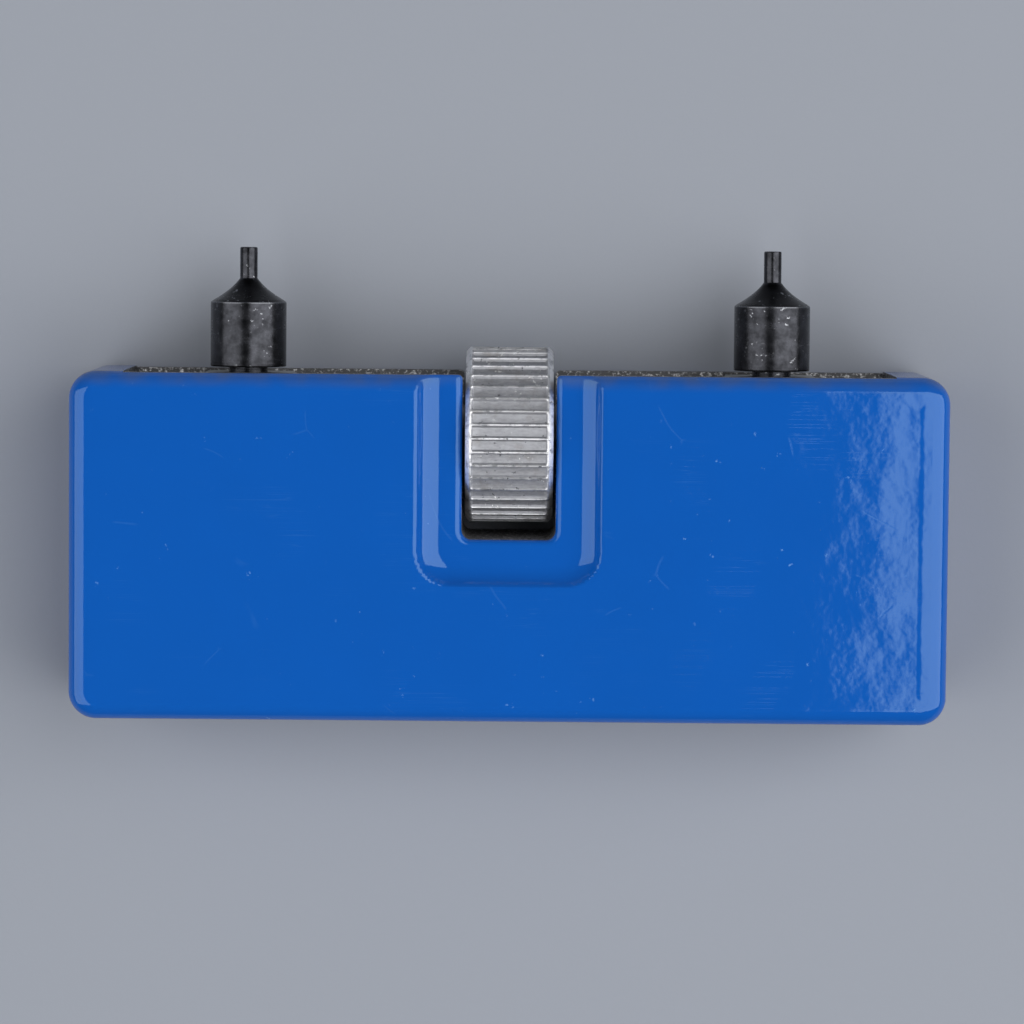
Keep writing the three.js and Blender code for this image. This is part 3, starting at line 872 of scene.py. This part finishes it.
def ridge_sector(sizes):
    """One ridge with half a groove on each side, and the wheel's faces and bore below it."""
    crest = WHEEL.size.y / 2
    half = WHEEL.size.x / 2
    chamfer, rim, sink = sizes.chamfer, sizes.rim_width, sizes.face_sink
    pitch = 2 * pi / sizes.ridges
    crest_half = sizes.crest_width / 2 / crest
    foot_half = sizes.foot_width / 2 / crest
    middle = (crest_half + foot_half) / 2
    groove_start, groove_middle = foot_half * 1.25, pitch / 2
    slope = [crest_half * 0.6, crest_half, middle, foot_half]
    angles = [0, *slope, groove_start, (groove_start + groove_middle) / 2, groove_middle]
    angles = [-a for a in reversed(angles[1:])] + angles
    groove_end = half - chamfer - 0.05 * MM
    fade = 0.25 * MM

    def knurled(x, angle):
        away = abs(angle)
        ridge = 1 - smoothstep((away - crest_half * 0.8) / (foot_half * 1.1 - crest_half * 0.8))
        hollow = sizes.groove_hollow * smoothstep((away - foot_half) / (pitch / 2 - foot_half))
        share = smoothstep((groove_end - abs(x)) / fade)
        return crest - ((1 - ridge) * sizes.ridge_height + hollow) * share

    flats = [-1, -0.75, -0.5, -0.25, 0, 0.25, 0.5, 0.75, 1]
    across = [(groove_end - fade) * f for f in flats]
    ends = [groove_end - fade * (1 - i / 4) for i in range(1, 5)]
    across = [-x for x in reversed(ends)] + across + ends
    rows = [[(x, knurled(x, a), a) for a in angles] for x in across]
    rim_top = crest - chamfer
    bore = sizes.bore / 2
    edge = [
        (half - chamfer, crest),
        (half - chamfer * 0.93, crest - chamfer * 0.05),
        (half - 0.04 * MM, crest - chamfer * 0.95),
        (half, rim_top - 0.03 * MM),
    ]
    face = [
        (half, rim_top - rim),
        (half - sink, rim_top - rim - sink),
        (half - sink, bore + 0.2 * MM),
        (half - sink - 0.1 * MM, bore),
    ]
    right = [[(x, r, a) for a in angles] for x, r in edge + face]
    left = [[(-x, r, a) for x, r, a in row] for row in reversed(right)]
    loop = left + rows + right
    loop.append(loop[0])
    patch = Patch()
    patch.grid([[(x, r * cos(a), r * sin(a)) for x, r, a in row] for row in loop])
    return patch.mesh("ridge_sector")


class NodeTree:
    """A Geometry Nodes tree with named inputs, built node by node."""

    def __init__(self, name, inputs):
        self.tree = bpy.data.node_groups.new(name, "GeometryNodeTree")
        for label, kind in inputs.items():
            self.tree.interface.new_socket(label, in_out="INPUT", socket_type=kind)
        self.tree.interface.new_socket("Result", in_out="OUTPUT", socket_type="NodeSocketGeometry")
        self.source = self.tree.nodes.new("NodeGroupInput")

    def node(self, kind, settings=None, sockets=None, output=0):
        made = self.tree.nodes.new(kind)
        for name, value in (settings or {}).items():
            setattr(made, name, value)
        for name, value in (sockets or {}).items():
            if isinstance(value, bpy.types.NodeSocket):
                self.tree.links.new(value, made.inputs[name])
            else:
                made.inputs[name].default_value = value
        return made.outputs[output] if made.outputs else made

    def given(self, label):
        return self.source.outputs[label]

    def modify(self, obj, values):
        """Puts the tree on an object as a modifier whose named inputs take the values."""
        modifier = obj.modifiers.new(self.tree.name, "NODES")
        modifier.node_group = self.tree
        for item in self.tree.interface.items_tree:
            if item.item_type == "SOCKET" and item.in_out == "INPUT" and item.name in values:
                modifier[item.identifier] = values[item.name]


def knurl_tree():
    """A tree that repeats a sector round the X axis, welds the copies and gives them a material."""
    tree = NodeTree("Knurled wheel", {
        "Sector": "NodeSocketGeometry",
        "Ridges": "NodeSocketInt",
        "Weld distance": "NodeSocketFloat",
        "Material": "NodeSocketMaterial",
    })
    points = tree.node("GeometryNodePoints", None, {"Count": tree.given("Ridges")})
    index = tree.node("GeometryNodeInputIndex")
    step = tree.node("ShaderNodeMath", {"operation": "DIVIDE"}, {0: 2 * pi, 1: tree.given("Ridges")})
    angle = tree.node("ShaderNodeMath", {"operation": "MULTIPLY"}, {0: index, 1: step})
    turn = tree.node("ShaderNodeCombineXYZ", None, {"X": angle})
    placing = {"Points": points, "Instance": tree.given("Sector"), "Rotation": turn}
    copies = tree.node("GeometryNodeInstanceOnPoints", None, placing)
    real = tree.node("GeometryNodeRealizeInstances", None, {"Geometry": copies})
    welded = tree.node(
        "GeometryNodeMergeByDistance", None, {"Geometry": real, "Distance": tree.given("Weld distance")}
    )
    finishing = {"Geometry": welded, "Material": tree.given("Material")}
    finished = tree.node("GeometryNodeSetMaterial", None, finishing)
    tree.node("NodeGroupOutput", None, {"Result": finished})
    return tree


def on_screw_axis():
    """The move from the X axis to the screw's."""
    return Matrix.Translation((0, SCREW.middle.y, SCREW.middle.z))


class OPENER_OT_wheel(bpy.types.Operator):
    """Make the knurled thumb wheel, its ridges repeated by Geometry Nodes"""

    bl_idname = "opener.wheel"
    bl_label = "Knurled wheel"

    def execute(self, context):
        sizes = context.scene.opener_wheel
        metal = wheel_alloy(context.scene.opener_colours)
        blank = bpy.data.objects.new("wheel_blank", ridge_sector(sizes))
        context.scene.collection.objects.link(blank)
        knurl_tree().modify(blank, {"Ridges": sizes.ridges, "Weld distance": 0.002 * MM, "Material": metal})
        mesh = baked(blank)
        mesh.name = "knurled_wheel"
        mesh.transform(on_screw_axis())
        piece("knurled_wheel", mesh, [metal], "thumb_wheel", "screw")
        return {"FINISHED"}


# ---------------------------------------------------------------- the two-handed screw

def screw_mesh(sizes):
    """The screw: a thread on each side of the plain seat, with a bore in each end."""
    half = SCREW.size.x / 2
    seat_half = WHEEL.size.x / 2
    crest = sizes.diameter / 2
    root = crest - sizes.thread_depth
    seat = crest + sizes.seat_rise
    bore, sides = sizes.bore / 2, 48
    end_size = crest - sizes.end_chamfer
    relief = root - sizes.relief
    patch = Patch()
    for side in (-1, 1):
        ends = sorted((side * seat_half, side * half))
        tapers = [(relief, 0.5 * MM), (end_size, sizes.end_chamfer)]
        thread(patch, *ends, crest, root, sizes.pitch, -side, sides, *(tapers if side > 0 else tapers[::-1]))
        deep = half - sizes.bore_depth
        end = [(half, end_size), (half, bore + 0.2 * MM), (half - 0.2 * MM, bore)]
        end += [(deep, bore), (deep - 0.6 * MM, 0)]
        turned(patch, [(side * x, r) for x, r in end], sides)
    break_edge = 0.3 * MM
    turned(patch, [
        (-seat_half, relief), (-seat_half, seat - break_edge), (-seat_half + break_edge, seat),
        (seat_half - break_edge, seat), (seat_half, seat - break_edge), (seat_half, relief),
    ], sides)
    return patch.mesh("lead_screw", place=on_screw_axis())


class OPENER_OT_screw(bpy.types.Operator):
    """Make the screw with a right-hand thread on its left half and a left-hand one on its right"""

    bl_idname = "opener.screw"
    bl_label = "Two-handed screw"

    def execute(self, context):
        colours = context.scene.opener_colours
        metal = steel("screw_steel", colours.screw_steel, 0.24, (0.3, 1, 1), (0.20, 0.17, 0.13))
        mesh = screw_mesh(context.scene.opener_screw)
        piece("two_handed_screw", mesh, [metal], "lead_screw", "screw", sharp_degrees=40)
        return {"FINISHED"}


class OPENER_OT_nuts(bpy.types.Operator):
    """Give the two slider nuts their milled steel"""

    bl_idname = "opener.nuts"
    bl_label = "Slider nuts"

    def execute(self, context):
        colours = context.scene.opener_colours
        metal = steel("nut_steel", colours.nut_steel, 0.36, (1, 0.2, 1), (0.18, 0.14, 0.10))
        for side in SIGN:
            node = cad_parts[f"slider_nut_{side}"]
            node.data.materials.clear()
            node.data.materials.append(metal)
        return {"FINISHED"}


# ---------------------------------------------------------------- the pin tips and pivot pins

def tip_mesh(sizes, side):
    """One pin tip, turned round the X axis from its shank to its pin, then stood up in its place."""
    span, nut = TIP[side], NUT[side]
    top = span.high.y - nut.high.y
    pin_foot = top - sizes.pin_length
    shoulder = pin_foot - sizes.shoulder_length
    foot = shoulder - sizes.body_length
    body, pin, neck = span.size.x / 2, sizes.pin_diameter / 2, sizes.neck_diameter / 2
    edge, sides = sizes.edge_break, 64
    shank = nut.high.y - span.low.y
    crest = sizes.thread_diameter / 2
    root = crest - sizes.thread_depth
    patch = Patch()
    thread_end, taper = -0.15 * MM, (root, 0.3 * MM)
    thread(patch, -shank, thread_end, crest, root, sizes.thread_pitch, 1, sides, taper, taper, 8)
    turned(patch, [(-shank, 0), (-shank, root)], sides)
    hollow = []
    steps = 16
    for i in range(1, steps + 1):
        done = i / steps
        straight = body + (pin - body) * done
        sag = sizes.shoulder_hollow * 4 * done * (1 - done)
        hollow.append((shoulder + sizes.shoulder_length * done, straight - sag))
    turned(patch, [
        (thread_end, root),
        (0, neck),
        (foot, neck),
        (foot, body - edge),
        (foot + edge * 0.3, body - edge * 0.3),
        (foot + edge, body),
        (foot + edge + 0.05 * MM, body),
        (shoulder - 0.12 * MM, body),
        (shoulder - 0.03 * MM, body - 0.012 * MM),
        *hollow,
        (top - edge - 0.03 * MM, pin),
        (top - edge * 0.35, pin - edge * 0.3),
        (top, pin - edge),
        (top, 0),
    ], sides)
    place = Matrix.Translation((span.middle.x, nut.high.y, span.middle.z)) @ Matrix.Rotation(pi / 2, 4, "Z")
    return patch.mesh("pin_tip", place=place)


class OPENER_OT_tips(bpy.types.Operator):
    """Make the two blackened pin tips"""

    bl_idname = "opener.tips"
    bl_label = "Pin tips"

    def execute(self, context):
        metal = black_oxide(context.scene.opener_colours)
        for side in SIGN:
            mesh = tip_mesh(context.scene.opener_tips, side)
            piece(
                f"turned_tip_{side}", mesh, [metal], f"pin_tip_{side}", f"slider_{side}"
            )
        return {"FINISHED"}


def pivot_mesh(side):
    """One dowel pin with rounded ends."""
    span = PIVOT[side]
    radius, edge = span.size.z / 2, 0.25 * MM
    low, high = span.low.x, span.high.x
    profile = [(low, 0), (low, radius - edge), *arc((low + edge, radius - edge), edge, 180, 90, 5)[1:]]
    profile += [*arc((high - edge, radius - edge), edge, 90, 0, 5), (high, 0)]
    patch = Patch()
    turned(patch, profile, 48)
    return patch.mesh("pivot_pin", place=on_screw_axis())


class OPENER_OT_pivots(bpy.types.Operator):
    """Make the two pivot pins that the screw turns on"""

    bl_idname = "opener.pivots"
    bl_label = "Pivot pins"

    def execute(self, context):
        colours = context.scene.opener_colours
        metal = steel("pin_steel", colours.pin_steel, 0.22, (1, 1, 1), (0.3, 0.25, 0.2))
        for side in SIGN:
            piece(f"ground_pin_{side}", pivot_mesh(side), [metal], f"pivot_pin_{side}", "block")
        return {"FINISHED"}


# ---------------------------------------------------------------- the stage

SOFTBOX_DISTANCE = 0.6
SOFTBOX_DEPTH = 0.7
SOFTBOX_TOP = 80


def softbox(name, bearing, rise_from, rise_to, distance, power, target):
    """A softbox that faces the target from a bearing, between two angles from the vertical, in degrees.

    power is that of each square metre, so the width of a softbox doesn't change how bright it looks."""
    lean, half = (rise_from + rise_to) / 2, (rise_to - rise_from) / 2
    light = bpy.data.lights.new(name, "AREA")
    light.shape = "RECTANGLE"
    light.size, light.size_y = 2 * distance * tan(radians(half)), SOFTBOX_DEPTH
    light.energy = power * light.size * light.size_y
    obj = bpy.data.objects.new(name, light)
    turn = Euler((0, radians(lean), radians(bearing))).to_matrix()
    obj.rotation_euler = turn.to_euler()
    obj.location = Vector(target) + turn @ Vector((0, 0, distance))
    obj.visible_camera = False
    bpy.context.scene.collection.objects.link(obj)


def right_softbox(stage, target):
    """The right softbox, whose inner edge fades in over narrow strips."""
    dark, full = 6.5, 7.7
    edge_distance = SOFTBOX_DISTANCE / cos(radians((SOFTBOX_TOP - full) / 2))
    strip = (full - dark) / stage.key_edge
    for step in range(stage.key_edge):
        rise, level = dark + step * strip, (step + 0.5) / stage.key_edge
        power = stage.key_power * level
        softbox("right_softbox_edge", 0, rise, rise + strip, edge_distance, power, target)
    softbox("right_softbox", 0, full, SOFTBOX_TOP, SOFTBOX_DISTANCE, stage.key_power, target)


def floor_mesh():
    """A square of paper with its centre under the tool."""
    half, cells = 1.5, 12
    values = [-half + 2 * half * i / cells for i in range(cells + 1)]
    patch = Patch()
    patch.grid([[(x, y, 0.0) for x in values] for y in values])
    mesh = patch.mesh("paper_sheet")
    if mesh.polygons[0].normal.z < 0:
        mesh.flip_normals()
    return mesh


class OPENER_OT_stage(bpy.types.Operator):
    """Make the floor, the soft lights and the camera"""

    bl_idname = "opener.stage"
    bl_label = "Stage"

    def execute(self, context):
        scene = context.scene
        stage, colours = scene.opener_stage, scene.opener_colours
        floor = bpy.data.objects.new("paper_floor", floor_mesh())
        floor.data.materials.append(paper(colours))
        scene.collection.objects.link(floor)

        target = (0, HOUSING.middle.y, HOUSING.high.z)
        right_softbox(stage, target)
        softbox("left_softbox", 189, 20, SOFTBOX_TOP, SOFTBOX_DISTANCE, stage.fill_power, target)
        world = bpy.data.worlds.new("studio")
        world.use_nodes = True
        background = world.node_tree.nodes["Background"]
        background.inputs["Color"].default_value = (0.9, 0.95, 1.0, 1.0)
        background.inputs["Strength"].default_value = stage.ambient
        scene.world = world
        scene.view_settings.view_transform = "Standard"

        camera = bpy.data.cameras.new("camera")
        camera.lens = camera.sensor_width * stage.camera_distance / stage.field_width
        camera.clip_start, camera.clip_end = 0.01, 10
        obj = bpy.data.objects.new("camera", camera)
        aim = Vector((stage.aim_side, HOUSING.middle.y + stage.aim_offset, HOUSING.high.z))
        turn = Matrix.Rotation(-stage.camera_tilt, 3, "X") @ Matrix.Rotation(stage.camera_roll, 3, "Z")
        obj.location = aim + turn @ Vector((0, 0, stage.camera_distance))
        obj.rotation_euler = turn.to_euler()
        scene.collection.objects.link(obj)
        scene.camera = obj
        return {"FINISHED"}


# ---------------------------------------------------------------- the add-on

GROUPS = {
    "opener_housing": HousingSizes,
    "opener_wheel": WheelSizes,
    "opener_screw": ScrewSizes,
    "opener_tips": TipSizes,
    "opener_colours": Colours,
    "opener_stage": StageSettings,
}
OPERATORS = (
    OPENER_OT_housing,
    OPENER_OT_wheel,
    OPENER_OT_screw,
    OPENER_OT_nuts,
    OPENER_OT_tips,
    OPENER_OT_pivots,
    OPENER_OT_stage,
)


class OPENER_PT_panel(bpy.types.Panel):
    """Lists the pieces of the case back opener"""

    bl_idname = "OPENER_PT_panel"
    bl_label = "Case Back Opener"
    bl_space_type = "VIEW_3D"
    bl_region_type = "UI"
    bl_category = "Case Back Opener"

    def draw(self, context):
        for operator in OPERATORS:
            self.layout.operator(operator.bl_idname)


def register():
    for made in (*GROUPS.values(), *OPERATORS, OPENER_PT_panel):
        bpy.utils.register_class(made)
    for name, group in GROUPS.items():
        setattr(bpy.types.Scene, name, PointerProperty(type=group))


def unregister():
    for name in GROUPS:
        delattr(bpy.types.Scene, name)
    for made in reversed((*GROUPS.values(), *OPERATORS, OPENER_PT_panel)):
        bpy.utils.unregister_class(made)


def main():
    register()
    for operator in OPERATORS:
        group, name = operator.bl_idname.split(".")
        getattr(getattr(bpy.ops, group), name)()


if __name__ == "__main__":
    main()
